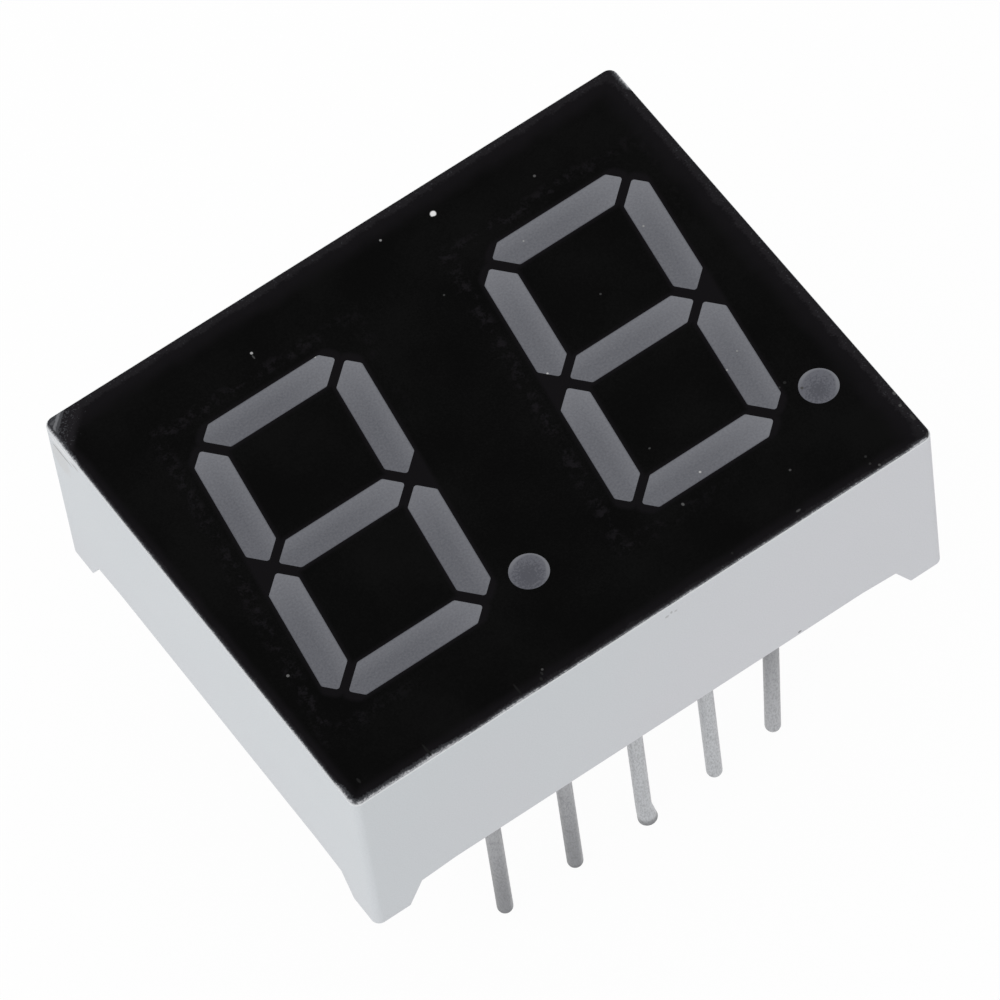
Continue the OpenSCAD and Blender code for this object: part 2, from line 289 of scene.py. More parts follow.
fleck = build_fleck()
print("fleck:", len(fleck.nodes), "nodes")

# %% [markdown]
# ## A new finish
#
# Every finish starts the same way: one Principled shader, an Object coordinate to place patterns with,
# and plain values set straight on the shader's sockets. Object coordinates are chosen over a UV map,
# because the solids have no map and the patterns follow the real places on them. Marks are flecks of
# another tone laid over a finish, and a list of them reads like notes made with a loupe.

# %% Finish starter
finishes = {}


def new_finish(name, **plain):
    material = bpy.data.materials.new(name)
    material.use_nodes = True
    tree = material.node_tree
    shader = tree.nodes["Principled BSDF"]
    for label, value in plain.items():
        shader.inputs[label.replace("_", " ")].default_value = value
    place = tree.nodes.new("ShaderNodeTexCoord").outputs["Object"]
    return material, tree, shader.inputs, place


def keep_finish(slot, material):
    """Files a finish under the name of its slot and prints how many nodes it took."""
    finishes[slot] = material
    print(slot, "finish:", len(material.node_tree.nodes), "nodes")


# %% Bumps and marks
MARK_RAGGED = 0.15


def bump(tree, height, distance, strength=1.0):
    made = add(tree, "ShaderNodeBump", Height=height, Distance=distance, Strength=strength)
    return made.outputs["Normal"]


def lay_marks(tree, place, tone, marks):
    """Lays each mark over the tone: its middle and radius in millimetres, its stretch, tone and strength."""
    for middle, radius, stretch, level, strength in marks:
        spot = place_group(tree, fleck, Place=place, Middle=Vector(middle) * MM, Stretch=stretch,
                           Radius=radius * MM, Ragged=MARK_RAGGED)[0]
        tone = blend(tree, calc(tree, "MULTIPLY", spot, strength), tone, grey(level))
    return tone


# %% [markdown]
# ## Moulded housing
#
# The housing is one injection moulding in a cool pale grey. Such plastic has a fine even tooth from the
# mould, a soft sheen, and a tone that drifts a little where the melt flowed. Its top rim is paler than the
# walls, partly rubbed and partly a painted highlight along the edge. A few hairlines and a nick show on the
# walls. At the rear left corner a small burr is painted on as light: a painted highlight along its top, a
# painted shadow line below it and painted shade round it. A flat colour would look like card, so the tone,
# the roughness and the bump each follow their own noise.

# %% The marks on the walls, and painted light at a burr
FRONT = -HALF_H / MM
LEFT = -HALF_W / MM
WALL_MARKS_AND_BURR_LIGHT = [
    # Painted light at a small burr on the rear left corner: painted shade round it, a painted shadow line in
    # two parts, and a painted highlight along its top.
    ((LEFT, 7.3, 5.9), 0.4, (1, 1.2, 1.6), 198, 0.5),
    ((LEFT, 7.15, 6.36), 0.07, (1, 8, 0.8), 160, 0.9),
    ((LEFT, 6.45, 6.6), 0.06, (1, 3.5, 1.4), 176, 0.7),
    ((LEFT, 7.1, 6.68), 0.07, (1, 9, 1.7), 228, 0.6),
    # Hairlines and a nick on the front wall.
    ((0.67, FRONT, 6.47), 0.03, (2.4, 1, 1.7), 158, 0.6),
    ((0.83, FRONT, 6.55), 0.03, (1.3, 1, 2.2), 158, 0.6),
    ((0.98, FRONT, 6.49), 0.03, (1.8, 1, 1.5), 164, 0.6),
    ((4.98, FRONT, 1.14), 0.04, (1.7, 1, 1.2), 110, 0.8),
]
print("marks on the walls:", len(WALL_MARKS_AND_BURR_LIGHT))

# %% Housing finish
COOL_PLASTIC = grey(212, (-3, 1, 4.5))
WARM_PLASTIC = grey(212.5, (-1, 0.2, 4.5))
SPECKLE_TONE = grey(172, (-2, 0, 2))
RIM_WEAR_AND_HIGHLIGHT = grey(238, (-2, 0, 2))
FLOW_BEND = 22 * MM
FLOW_FALL = -1.6
FLOW_ENDS = -6 * MM, 12 * MM
RIM = 0.03 * MM
TOOTH_SIZE = 0.05 * MM
TOOTH_DEPTH = 0.002 * MM


def housing_finish():
    material, tree, surface, place = new_finish("housing_plastic", Specular_IOR_Level=0.3)
    drift = noise(tree, place, 5 * MM, 3, 0.6)
    spot = split(tree, place)
    flow = calc(tree, "MULTIPLY_ADD", drift, FLOW_BEND, spot["X"])
    flow = calc(tree, "MULTIPLY_ADD", spot["Z"], FLOW_FALL, flow)
    tone = blend(tree, ramp(tree, flow, *FLOW_ENDS), COOL_PLASTIC, WARM_PLASTIC)
    speckle = noise(tree, place, TOOTH_SIZE, 2, 0.7)
    tone = blend(tree, ramp(tree, speckle, 0.35, 0.7, 0, 0.14), tone, SPECKLE_TONE)
    tone = lay_marks(tree, place, tone, WALL_MARKS_AND_BURR_LIGHT)
    # Painted highlight along the top rim, which is partly rubbed as well: the rim is paler than the walls.
    tone = blend(tree, ramp(tree, spot["Z"], COAT_Z - RIM, COAT_Z - RIM / 2), tone, RIM_WEAR_AND_HIGHLIGHT)
    tree.links.new(tone, surface["Base Color"])
    tree.links.new(ramp(tree, drift, 0.3, 0.7, 0.5, 0.58), surface["Roughness"])
    height = place_group(tree, grain, Place=place, Size=TOOTH_SIZE)[0]
    tree.links.new(bump(tree, height, TOOTH_DEPTH, 0.5), surface["Normal"])
    return material


keep_finish("housing", housing_finish())

# %% [markdown]
# ## Where a point lies in its digit
#
# Both the coat and the epoxy change round the segments. Each segment could have a mask of its own, which
# would take sixteen of them. One group turns the whole face into a single upright digit instead. It puts
# out the place in that digit, and how far along and across its segment a point lies, where 1 is the
# segment's end or side.

# %% The digit's own sizes
DIGIT_PITCH = 10.2 * MM
DIGIT_DROP = 0.09 * MM
SLANT = math.radians(8)
COLUMN_X = 2.415 * MM
ROW_Y = 4.605 * MM
BAR_HALF = 0.52 * MM
ROW_REACH = 2.4 * MM
COLUMN_REACH = 2.3 * MM
print("segments' middle lines:", round(COLUMN_X / MM, 3), "by", round(ROW_Y / MM, 3))

# %% Place within a digit
def upright(tree, place):
    """Moves both digits onto the middle and takes their lean away."""
    side = calc(tree, "SIGN", place["X"])
    y = calc(tree, "ADD", place["Y"], DIGIT_DROP)
    x = calc(tree, "MULTIPLY_ADD", side, -DIGIT_PITCH / 2, place["X"])
    return calc(tree, "MULTIPLY_ADD", y, -math.tan(SLANT), x), y


def build_digit_place():
    tree, given, out = new_group(
        "digit_place",
        [("Place", VECTOR, None)],
        [("X", FLOAT), ("Y", FLOAT), ("Along", FLOAT), ("Across", FLOAT)])
    x, y = upright(tree, split(tree, given["Place"]))
    far_y = calc(tree, "ABSOLUTE", y)
    past_column = calc(tree, "SUBTRACT", calc(tree, "ABSOLUTE", x), COLUMN_X)
    past_row = calc(tree, "SUBTRACT", far_y, ROW_Y)
    below_mitre = calc(tree, "GREATER_THAN", past_column, past_row)
    above_point = calc(tree, "GREATER_THAN", calc(tree, "ADD", past_column, far_y), 0.0)
    column = calc(tree, "MULTIPLY", below_mitre, above_point)

    def pick(in_row, in_column):
        return calc(tree, "MULTIPLY_ADD", calc(tree, "SUBTRACT", in_column, in_row), column, in_row)

    centre = calc(tree, "MULTIPLY", calc(tree, "SIGN", y), ROW_Y / 2)
    along_column = calc(tree, "DIVIDE", calc(tree, "SUBTRACT", y, centre), COLUMN_REACH)
    along_row = calc(tree, "DIVIDE", x, ROW_REACH)
    line = calc(tree, "MULTIPLY", calc(tree, "SIGN", x), COLUMN_X)
    across_column = calc(tree, "DIVIDE", calc(tree, "SUBTRACT", x, line), BAR_HALF)
    across_row = calc(tree, "DIVIDE", calc(tree, "WRAP", y, ROW_Y / 2, -ROW_Y / 2), BAR_HALF)
    tree.links.new(x, out["X"])
    tree.links.new(y, out["Y"])
    tree.links.new(pick(along_row, along_column), out["Along"])
    tree.links.new(pick(across_row, across_column), out["Across"])
    return tree


digit_place = build_digit_place()
print("digit place:", len(digit_place.nodes), "nodes")

# %% [markdown]
# ## Black coat
#
# The face is printed with a matt black ink. Handling has worn it in a few ways, laid over the ink from the
# widest and faintest to the smallest and brightest: faint blots and a thin paler rim round the segments, a
# dark haze along the sides, a rubbed grey corner at the rear left with a painted highlight along its rounded
# edge, a pale fray at some edges, and specks of dust. One noise over the whole face could stand for all of
# this, but real wear sits where hands and tools reach, so each kind gets a layer of its own. Two noises make
# every border stray.

# %% Tones and soft borders of the coat
DARK_LEVEL = 40


def lay(tree, tone, mask, level):
    """Lays a grey over the tone, a little violet where it is dark and cool where it is pale."""
    return blend(tree, mask, tone, grey(level, (1, -0.5, 2) if level < DARK_LEVEL else (0, 1, 4)))


def make_sway(tree, place):
    """Returns fine noise, and a helper that strays a value by fine and by soft noise."""
    fine = calc(tree, "SUBTRACT", noise(tree, place, 0.06 * MM, 2, 0.7), 0.5)
    soft = calc(tree, "SUBTRACT", noise(tree, place, 0.7 * MM, 3), 0.5)

    def sway(value, by_fine, by_soft):
        return calc(tree, "MULTIPLY_ADD", soft, by_soft, calc(tree, "MULTIPLY_ADD", fine, by_fine, value))

    return fine, sway


# %% [markdown]
# ## Round the segments
#
# Where the ink lies over the walls of the cups it has dried a little paler, in a broken ring round each
# digit that fades towards the lower right. A thin rim of ink right at the windows is paler too, and fills
# the gaps between them. A painted map could hold both. The place in the digit gives them without one.

# %% Blots and rims
HALO_STARTS = 0.7 * MM, 1 * MM
HALO_ENDS = 1.45 * MM, 1.05 * MM
HALO_FADES = 4 * MM, -2.5 * MM
BLOT_SIZE = 0.28 * MM
BLOT_TONE = 21
RIM_BESIDE = 1.35, 1.0
RIM_WITHIN = 1.1, 1.0
RIM_CORNER = 0.25 * MM, 0.5 * MM
RIM_SHARE = 0.8
RIM_TONE = 17
print("ring of blots, past the middle lines:", round(HALO_STARTS[0] / MM, 2), round(HALO_ENDS[0] / MM, 2))


def lay_halo(tree, place, tone, sway):
    digit = place_group(tree, digit_place, Place=place)
    past_column = calc(tree, "SUBTRACT", calc(tree, "ABSOLUTE", digit["X"]), COLUMN_X)
    past_row = calc(tree, "SUBTRACT", calc(tree, "ABSOLUTE", digit["Y"]), ROW_Y)
    outside = calc(tree, "MAXIMUM", past_column, past_row)
    ring = calc(tree, "MULTIPLY", ramp(tree, outside, *HALO_STARTS), ramp(tree, outside, *HALO_ENDS))
    weight = ramp(tree, calc(tree, "MULTIPLY_ADD", digit["Y"], -0.4, digit["X"]), *HALO_FADES)
    blots = ramp(tree, sway(noise(tree, place, BLOT_SIZE, 2), 0.5, 0.5), 0.46, 0.72)
    tone = lay(tree, tone, calc(tree, "MULTIPLY", calc(tree, "MULTIPLY", ring, weight), blots), BLOT_TONE)
    beside = ramp(tree, calc(tree, "ABSOLUTE", digit["Across"]), *RIM_BESIDE, 0, RIM_SHARE)
    within = ramp(tree, calc(tree, "ABSOLUTE", digit["Along"]), *RIM_WITHIN)
    corner = ramp(tree, calc(tree, "ADD", past_column, past_row), *RIM_CORNER, 1, 0)
    rim = calc(tree, "MULTIPLY", calc(tree, "MULTIPLY", beside, within), corner)
    return lay(tree, tone, rim, RIM_TONE)


# %% [markdown]
# ## Along the sides
#
# The coat thins towards the sides, so a haze follows each side at its own width, with a few wider clouds
# at the corners and a fine spray of specks. The edge share carries all of it.

# %% Haze
SIDE_WIDTHS = (0.13, 0.33, 0.16, 0.3)
SPRAY_SIZE = 0.045 * MM
HAZE_STEPS = [(3.4, 1.2, 17), (1.1, 0.8, 29)]
SPECK_REACH = 0.9, 0.6
SPECK_TONE = 54
CLOUDS = [
    ((10.1, -7.9), 0.6, (0.75, 1.3), 26), ((10.1, 8.05), 0.6, (1, 1), 28),
    ((-10.1, -8.05), 0.35, (1, 1), 30),
]
print("clouds:", len(CLOUDS))


def face_fleck(tree, place, middle, radius, stretch, **more):
    """A fleck on the face. Its middle and radius are in millimetres, its stretch runs along x and y."""
    x, y = middle
    return place_group(tree, fleck, Place=place, Middle=(x * MM, y * MM, FACE_Z), Radius=radius * MM,
                       Stretch=(*stretch, 1), **more)[0]


def lay_haze(tree, place, tone, sway):
    side = sway(edge_of(tree, place, SIDE_WIDTHS), 1.2, 1.2)
    for start, full, level in HAZE_STEPS:
        tone = lay(tree, tone, ramp(tree, side, start, full), level)
    for middle, radius, stretch, level in CLOUDS:
        cloud = face_fleck(tree, place, middle, radius, stretch, Ragged=0.25, Blot=0.2 * MM)
        tone = lay(tree, tone, cloud, level)
    specks = ramp(tree, noise(tree, place, SPRAY_SIZE, 1), 0.64, 0.7)
    return lay(tree, tone, calc(tree, "MULTIPLY", ramp(tree, side, *SPECK_REACH), specks), SPECK_TONE)


# %% [markdown]
# ## The rubbed corner
#
# One corner has been rubbed until the coat turned grey. Seen from the corner inwards it shows a blotted
# patch, a bright line, a spray of pale specks and a faint haze. The bright line is a painted highlight along
# the rounded edge of the worn corner. The rest is wear. A ready picture of such wear could be stuck on, but
# it would blur close up. Here each band is a step of one depth, measured from the corner along the diagonal
# and bowed so that the bands curve.

# %% Rubbed corner
CORNER_BOW = 250
BOW_LIMIT = 0.16 * MM * MM
SPRAY_FADE = 400.0
SPRAY_TONE = 62
PATCH_TONE = 84
CORNER_HAZE = 1.15 * MM, 0.9 * MM
HAZE_TONE = 29
# The middle step, level 114, is a painted highlight along the rounded edge of the worn corner; the other
# steps are wear.
CORNER_WEAR_AND_HIGHLIGHT_STEPS = [(0.54, 0.5, 72), (0.46, 0.42, 114), (0.37, 0.33, 58)]
print("steps of the corner:", len(CORNER_WEAR_AND_HIGHLIGHT_STEPS))


def lay_corner(tree, place, tone, sway):
    spot = split(tree, place)
    left = calc(tree, "ADD", spot["X"], HALF_W)
    rear = calc(tree, "SUBTRACT", HALF_H, spot["Y"])
    inward = calc(tree, "MULTIPLY", calc(tree, "ADD", left, rear), math.sqrt(0.5))
    along = calc(tree, "MULTIPLY", calc(tree, "SUBTRACT", left, rear), math.sqrt(0.5))
    bow = calc(tree, "MINIMUM", calc(tree, "MULTIPLY", along, along), BOW_LIMIT)
    depth = sway(calc(tree, "MULTIPLY_ADD", bow, -CORNER_BOW, inward), 0.1 * MM, 0.12 * MM)
    tone = lay(tree, tone, ramp(tree, depth, *CORNER_HAZE), HAZE_TONE)
    spray = calc(tree, "MULTIPLY_ADD", depth, -SPRAY_FADE, noise(tree, place, SPRAY_SIZE, 1))
    tone = lay(tree, tone, ramp(tree, spray, 0.3, 0.34), SPRAY_TONE)
    for start, full, level in CORNER_WEAR_AND_HIGHLIGHT_STEPS:
        patch = ramp(tree, depth, start * MM, full * MM)
        tone = lay(tree, tone, patch, level)
    blots = ramp(tree, noise(tree, place, 0.12 * MM, 3), 0.5, 0.6)
    return lay(tree, tone, calc(tree, "MULTIPLY", patch, blots), PATCH_TONE)


# %% [markdown]
# ## Frays
#
# At the very edge the coat has chipped back and the plastic shows through. The chipped edge is a hair
# wide, and wider near a few places. Flecks at those places stretch the reach of the edge share, so that
# one ragged line runs round the face. Separate chips would look scattered on.

# %% Frays along the edge
FRAY_WIDTHS = (0.055, 0.03, 0.055, 0.03)
FRAY_STEPS = [(1.5, 1.1, 56), (0.85, 0.55, 108), (0.5, 0.25, 185)]
FRAYS = [
    ((-8.9, -8.05), 1.0, (2.6, 1), 1.4), ((-10.1, -8.05), 0.3, (1, 1), 1.2),
    ((9.9, -8.05), 0.6, (1, 1), 0.6), ((10.1, 7.5), 0.5, (1, 1), 3.2),
    ((-10.1, 7.2), 0.5, (1, 2), 0.8), ((-4.6, -8.05), 0.6, (1.5, 1), 0.5),
]
print("frayed places:", len(FRAYS))


def lay_frays(tree, place, tone, sway):
    reach = 1.0
    for middle, radius, stretch, more in FRAYS:
        near = face_fleck(tree, place, middle, radius, stretch, Ragged=0.0)
        reach = calc(tree, "MULTIPLY_ADD", near, more, reach)
    fray = sway(calc(tree, "DIVIDE", edge_of(tree, place, FRAY_WIDTHS), reach), 1.4, 0.5)
    for start, full, level in FRAY_STEPS:
        tone = lay(tree, tone, ramp(tree, fray, start, full), level)
    return tone


# %% [markdown]
# ## Dust and the whole coat
#
# Dust is a list of single specks and short hairs, each with its place, size, stretch and tone. Scattered
# points would be quicker, but a few that are set one by one look like dust and not like a pattern. The
# finish then lays every kind of wear, with the painted highlight at the corner, over the ink in turn. Ink is
# matt, so its gloss is low and soft.

# %% Dust
DUST = [
    ((2.972, 7.01), 0.1, (1, 1), 235), ((1.227, 7.191), 0.04, (1, 1), 135),
    ((-3.953, 6.277), 0.045, (1, 1), 165), ((-3.98, 6.14), 0.03, (0.8, 2.6), 66),
    ((6.077, 6.266), 0.045, (1, 1), 80), ((1.628, 4.491), 0.035, (1, 1), 60),
    ((5.261, 1.727), 0.035, (1, 1), 60), ((-9.172, -3.341), 0.05, (1, 1), 100),
    ((3.361, -3.436), 0.04, (1, 0.8), 64), ((3.034, -5.554), 0.045, (1, 1.3), 82),
    ((6.139, -6.494), 0.04, (1, 1), 68), ((7.522, -4.049), 0.03, (1, 1), 50),
    ((7.739, -4.003), 0.05, (1, 1), 36), ((-9.5, -7.4), 0.05, (0.8, 2), 29),
    ((-7.4, -7.75), 0.06, (0.7, 4), 25), ((-4.23, -7.7), 0.05, (0.7, 5), 24),
    ((-3.5, -7.82), 0.03, (1.4, 2.4), 32), ((-3.38, -7.68), 0.03, (1.2, 2.2), 34),
    ((-3.3, -7.58), 0.04, (1, 1), 66), ((3.21, -7.74), 0.04, (1, 1), 32),
    ((5.54, -7.74), 0.045, (1.8, 0.8), 66), ((8.08, -7.72), 0.04, (1, 1), 42),
    ((8.12, -7.45), 0.04, (1, 1), 42), ((8.27, -7.92), 0.04, (1, 1), 72),
    ((9.92, -6.66), 0.05, (1, 1), 72), ((10.03, -6.23), 0.05, (1, 1.3), 80),
    ((9.97, -7.2), 0.05, (1, 2.6), 52), ((9.99, -7.97), 0.1, (1, 1), 56),
]
print("specks of dust:", len(DUST))


def on_face(marks):
    """Gives marks of the face their height and full strength."""
    return [((x, y, FACE_Z / MM), radius, (*stretch, 1), level, 1)
            for (x, y), radius, stretch, level in marks]


# %% Coat finish
INK_DARK, INK_PALE = grey(4), grey(11)
INK_CLOUD = 2.5 * MM
INK_GRAIN = 0.09 * MM
FACE_DEPTH = 0.001 * MM


def coat_finish():
    material, tree, surface, place = new_finish("black_coat", Specular_IOR_Level=0.025)
    fine, sway = make_sway(tree, place)
    cloud = noise(tree, place, INK_CLOUD, 4)
    ink = calc(tree, "MULTIPLY_ADD", fine, 0.9, cloud)
    tone = blend(tree, ramp(tree, ink, 0.3, 0.8), INK_DARK, INK_PALE)
    for lay_wear in (lay_halo, lay_haze, lay_corner, lay_frays):
        tone = lay_wear(tree, place, tone, sway)
    tone = lay_marks(tree, place, tone, on_face(DUST))
    tree.links.new(tone, surface["Base Color"])
    tree.links.new(ramp(tree, cloud, 0.3, 0.8, 0.45, 0.52), surface["Roughness"])
    height = place_group(tree, grain, Place=place, Size=INK_GRAIN)[0]
    tree.links.new(bump(tree, height, FACE_DEPTH, 0.4), surface["Normal"])
    return material


keep_finish("ink", coat_finish())

# %% [markdown]
# ## Tinted epoxy
#
# The segments are grey windows of cast epoxy. Below each window its cup narrows to a small opening over the
# die, so a window is darkest over the middle of its cup and paler over the cup's slopes. Glassy epoxy over
# modelled cups could show this by itself, but it renders slowly and its tone is hard to steer. So this shade
# is painted into the colour and follows the place in the segment: a sum gives a share from 0, the dark
# middle, to 1, the palest end at the upper right, and the colour runs between two greys. The dark middle is
# painted shade and the pale upper right end a painted highlight.

# %% Tone of a segment
DARK_TINT = (-1, 0.2, 7.5)
PALE_TINT = (-1, 0.3, 6)
SEGMENT_DARK = grey(67, DARK_TINT)
SEGMENT_PALE = grey(122, PALE_TINT)
SEGMENT_SIDE = grey(62, DARK_TINT)
END_START, END_LENGTH = 0.2, 1.2
EDGE_START, EDGE_LENGTH = 0.05, 0.9
print("window tones:", round(SEGMENT_DARK[1], 3), "to", round(SEGMENT_PALE[1], 3))


def segment_tone(tree, digit, grit, which):
    """The tone of the windows, with painted shade over the middle of each cup and a painted highlight
    towards the upper right. Which is -1 on the left digit and 1 on the right one.
    """
    end = calc(tree, "DIVIDE", calc(tree, "ADD", digit["Along"], END_START), END_LENGTH, clamp=True)
    edge = calc(tree, "DIVIDE", calc(tree, "ADD", digit["Across"], EDGE_START), EDGE_LENGTH, clamp=True)
    deep_end = calc(tree, "SUBTRACT", 1.0, calc(tree, "MULTIPLY", end, end))
    deep_edge = calc(tree, "MULTIPLY_ADD", edge, -0.5, 1.0)
    sheen = calc(tree, "SUBTRACT", 1.0, calc(tree, "MULTIPLY", deep_end, deep_edge))
    sheen = calc(tree, "MULTIPLY_ADD", which, 0.06, sheen)
    sheen = calc(tree, "MULTIPLY_ADD", grit, 1.5, sheen)
    tone = blend(tree, ramp_line(tree, sheen, -1.0, 1.0), SEGMENT_DARK, SEGMENT_PALE)
    side = calc(tree, "ABSOLUTE", digit["Across"])
    return blend(tree, ramp(tree, side, 0.9, 1.0, 0, 0.35), tone, SEGMENT_SIDE)


# %% [markdown]
# ## Decimal points
#
# The decimal points have round cups, so their painted shade follows the distance from a point just below
# their middle, with a painted highlight at the upper right of the rim.

# %% Tone of a decimal point
DOT_X = 3.355 * MM + ROW_Y * math.tan(SLANT)
DOT_RADIUS = 0.6 * MM
DOT_DARK = grey(79, DARK_TINT)
DOT_PALE = grey(99, DARK_TINT)
DOT_RIM_HIGHLIGHT = grey(118, PALE_TINT)
print("decimal point in its upright digit:", round(DOT_X / MM, 3), round(-ROW_Y / MM, 3))


def dot_tone(tree, digit, grit, which):
    """The tone of the decimal points: painted shade darkest just below the middle and a painted highlight at
    the upper right of the rim. Which is -1 on the left digit and 1 on the right one.
    """
    dot_x = calc(tree, "SUBTRACT", digit["X"], DOT_X)
    dot_y = calc(tree, "ADD", digit["Y"], ROW_Y)

    def from_dot(shift_x, shift_y):
        away = add(tree, "ShaderNodeCombineXYZ", X=calc(tree, "ADD", dot_x, shift_x * DOT_RADIUS),
                   Y=calc(tree, "ADD", dot_y, shift_y * DOT_RADIUS)).outputs[0]
        length = add(tree, "ShaderNodeVectorMath", {"operation": "LENGTH"}, Vector=away)
        return calc(tree, "DIVIDE", length.outputs["Value"], DOT_RADIUS)

    deep = calc(tree, "MULTIPLY_ADD", grit, 3.0, from_dot(0.15, 0.2))
    deep = calc(tree, "MULTIPLY_ADD", which, 0.08, deep)
    dot = blend(tree, ramp(tree, deep, 0.25, 1.0), DOT_DARK, DOT_PALE)
    rim_highlight = calc(tree, "MULTIPLY", ramp(tree, from_dot(0, 0), 0.8, 0.93),
                    ramp(tree, from_dot(0.6, 0.6), 0.9, 1.6))
    return blend(tree, rim_highlight, dot, DOT_RIM_HIGHLIGHT)


# %% [markdown]
# ## The whole casting
#
# One casting fills the cups and closes the back, so one finish covers both. Small glints lie in the
# windows. The back of the display is the same epoxy without cups, so there it is plain, and a step along
# z tells the two apart.

# %% Epoxy finish
FILL_TOP = 3 * MM
FILL_STEP = 1 * MM
EPOXY_GRAIN = 0.12 * MM
GRIT_SIZE = 0.07 * MM
CAST_SIZE = 2.5 * MM
BACK_DARK, BACK_PALE = grey(96, PALE_TINT), grey(112, PALE_TINT)
GLINTS = [
    ((-2.557, 5.036), 0.035, (1, 1), 165), ((4.531, 4.604), 0.03, (1, 1), 150),
    ((2.481, 0.439), 0.035, (1, 1), 180), ((7.607, 2.88), 0.03, (1, 1), 145),
    ((6.666, -2.64), 0.03, (1, 1), 145), ((7.271, -2.29), 0.03, (1, 1), 135),
    ((4.052, -4.972), 0.04, (1, 1), 175), ((8.026, -4.459), 0.05, (1, 1), 66),
]


def epoxy_finish():
    material, tree, surface, place = new_finish("tinted_epoxy", Specular_IOR_Level=0.2)
    digit = place_group(tree, digit_place, Place=place)
    grit = calc(tree, "SUBTRACT", noise(tree, place, GRIT_SIZE, 2, 0.7), 0.5)
    spot = split(tree, place)
    which = calc(tree, "SIGN", spot["X"])
    on_dot = calc(tree, "GREATER_THAN", digit["X"], DOT_X - 1.2 * DOT_RADIUS)
    tone = blend(tree, on_dot, segment_tone(tree, digit, grit, which), dot_tone(tree, digit, grit, which))
    tone = lay_marks(tree, place, tone, on_face(GLINTS))
    cast = noise(tree, place, CAST_SIZE, 3)
    back = blend(tree, ramp(tree, cast, 0.3, 0.7), BACK_DARK, BACK_PALE)
    tone = blend(tree, ramp(tree, spot["Z"], FILL_TOP, FILL_TOP + FILL_STEP), back, tone)
    tree.links.new(tone, surface["Base Color"])
    tree.links.new(ramp(tree, cast, 0.3, 0.7, 0.34, 0.42), surface["Roughness"])
    height = place_group(tree, grain, Place=place, Size=EPOXY_GRAIN)[0]
    tree.links.new(bump(tree, height, FACE_DEPTH, 0.4), surface["Normal"])
    return material


keep_finish("epoxy", epoxy_finish())

# %% [markdown]
# ## Tinned pins
#
# The pins are drawn wire with a matt coat of tin. Drawing leaves faint streaks along the wire, so their
# noise is squeezed across the pin and stretched along z. The light on the pins is painted into their colour,
# as painted shade and painted reflection that differ from pin to pin: the two on the left darken towards
# their tips, the middle two are lighter, the last one lightens towards its tip, and the tips of the three on
# the left are darkest. A painted highlight makes the side of each pin that faces +x brighter. Ten materials
# could hold this. One that reads the place along x does too.

# %% Tin along the row
PIN_PITCH = 2.54 * MM
TIN_TINT = (-1, 0, 3)
LIT_PIN_TIN = grey(192, (-1, 1, 4))
SHADED_PIN_ROOT, SHADED_PIN_TIP = grey(170, TIN_TINT), grey(136, TIN_TINT)
LAST_ROOT, LAST_TIP = grey(150, TIN_TINT), grey(180, TIN_TINT)
FALL_ENDS = -1 * MM, TIP_Z + 0.5 * MM
BRIGHT_FROM = -PIN_PITCH / 2
LAST_FROM = 1.5 * PIN_PITCH
print("the tin changes along the row at x =", round(BRIGHT_FROM / MM, 2), "and", round(LAST_FROM / MM, 2))


def row_tone(tree, spot):
    """The painted light and shade of each pin, by its place in the row and the height on it."""
    # Painted shade and painted reflection: the two pins on the left darken towards their tips, the middle
    # two are lighter, and the last lightens towards its tip.
    fall = ramp(tree, spot["Z"], *FALL_ENDS)
    shaded_pins = blend(tree, fall, SHADED_PIN_ROOT, SHADED_PIN_TIP)
    last = blend(tree, fall, LAST_ROOT, LAST_TIP)
    tone = blend(tree, calc(tree, "GREATER_THAN", spot["X"], BRIGHT_FROM), shaded_pins, LIT_PIN_TIN)
    return blend(tree, calc(tree, "GREATER_THAN", spot["X"], LAST_FROM), tone, last)


# %% Pin finish
PIN_RADIUS = 0.25 * MM
STREAK_SIZE = 0.05 * MM
STREAK_DEPTH = 0.004 * MM
STREAK_STRETCH = (1, 1, 0.4)
BLOT_WIDTH = 0.45 * MM
TIP_ENDS = TIP_Z + 0.4 * MM, TIP_Z + 0.1 * MM
TIP_SHADE_TO = PIN_PITCH / 2
STRAY_TINT = (0, 0, 2)


def pin_finish():
    material, tree, surface, place = new_finish("dull_tin", Metallic=0.55)
    spot = split(tree, place)
    tone = row_tone(tree, spot)
    # Painted highlight: the side of each pin that faces +x is lighter.
    across = calc(tree, "WRAP", spot["X"], PIN_PITCH / 2, -PIN_PITCH / 2)
    lit_flank = ramp(tree, across, 0.1 * PIN_RADIUS, PIN_RADIUS, 0, 0.45)
    tone = blend(tree, lit_flank, tone, grey(212, TIN_TINT))
    drawn = add(tree, "ShaderNodeMapping", Vector=place, Scale=STREAK_STRETCH).outputs[0]
    streak = noise(tree, drawn, STREAK_SIZE, 3, 0.7)
    tone = blend(tree, ramp(tree, streak, 0.4, 0.7, 0, 0.45), tone, grey(108, STRAY_TINT))
    blot = noise(tree, place, BLOT_WIDTH, 3)
    tone = blend(tree, ramp(tree, blot, 0.6, 0.72, 0, 0.25), tone, grey(104, STRAY_TINT))
    # Painted shade: the tips of the three pins on the left are darker.
    shaded_tip_pins = calc(tree, "LESS_THAN", spot["X"], TIP_SHADE_TO)
    tip = ramp(tree, spot["Z"], *TIP_ENDS, 0, 0.6)
    tone = blend(tree, calc(tree, "MULTIPLY", tip, shaded_tip_pins), tone, grey(84, STRAY_TINT))
    tree.links.new(tone, surface["Base Color"])
    tree.links.new(ramp(tree, streak, 0.3, 0.7, 0.36, 0.46), surface["Roughness"])
    tree.links.new(bump(tree, streak, STREAK_DEPTH, 0.5), surface["Normal"])
    return material


keep_finish("tinned_pin", pin_finish())

